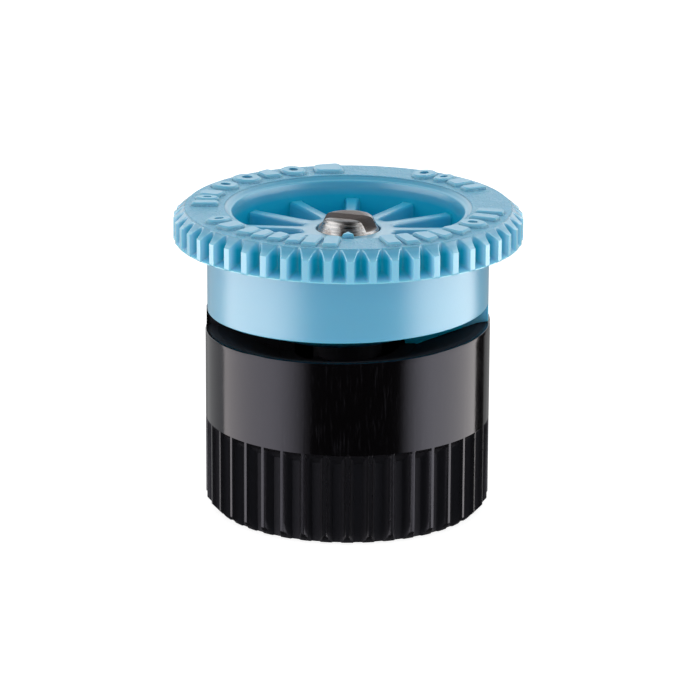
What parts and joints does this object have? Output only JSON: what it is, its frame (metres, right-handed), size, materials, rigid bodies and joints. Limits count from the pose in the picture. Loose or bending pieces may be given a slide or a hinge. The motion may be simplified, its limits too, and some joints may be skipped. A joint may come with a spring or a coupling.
{
  "type": "adjustable arc spray nozzle",
  "caption": "Adjustable-arc spray nozzle for a pop-up sprinkler: ribbed base with a female riser thread, toothed arc collar and slotted radius screw.",
  "frame": {"origin": "centre of the base's bottom face, where the riser screws in", "axes": "+Z along the riser's axis towards the screw's head, the seam-side of the fixed left edge of the arc near +175 degrees from +X, and -Y towards the viewer's front"},
  "size_m": [0.0274, 0.0274, 0.0245],
  "materials": {
    "black_plastic": "moulded black, smooth band and satin ribs",
    "blue_plastic": "moulded light blue, satin, slightly translucent",
    "stainless": "turned stainless steel with a sawn slot",
    "seal_rubber": "black nitrile",
    "natural_acetal": "natural white acetal"
  },
  "bodies": {
    "base": {"nozzle_body": "black_plastic", "valve_core": "black_plastic", "riser_gasket": "seal_rubber", "screw_seal": "seal_rubber"},
    "collar_lift": {"collar_seal": "seal_rubber"},
    "collar": {"arc_collar": "blue_plastic"},
    "screw": {"radius_screw": "stainless", "screw_clip": "stainless"},
    "plug": {"throttle_plug": "natural_acetal"}
  },
  "joints": [
    {"name": "collar_rise", "type": "slide", "parent": "base", "child": "collar_lift", "axis": [0, 0, 1], "range_m": [-0.00065, 0.00075]},
    {"name": "collar_turn", "type": "hinge", "parent": "collar_lift", "child": "collar", "pos_m": [0, 0, 0.018], "axis": [0, 0, 1], "range_deg": [-155.1, 180.1]},
    {"name": "screw_turn", "type": "hinge", "parent": "base", "child": "screw", "pos_m": [0, 0, 0.018], "axis": [0, 0, 1], "range_deg": [-1081, 1]},
    {"name": "plug_rise", "type": "slide", "parent": "base", "child": "plug", "axis": [0, 0, 1], "range_m": [0, 0.0015]}
  ],
  "couplings": [
    {"joint": "collar_turn", "follows": "collar_rise", "rad_per_m": 4188.8},
    {"joint": "screw_turn", "follows": "plug_rise", "rad_per_m": -12566}
  ]
}
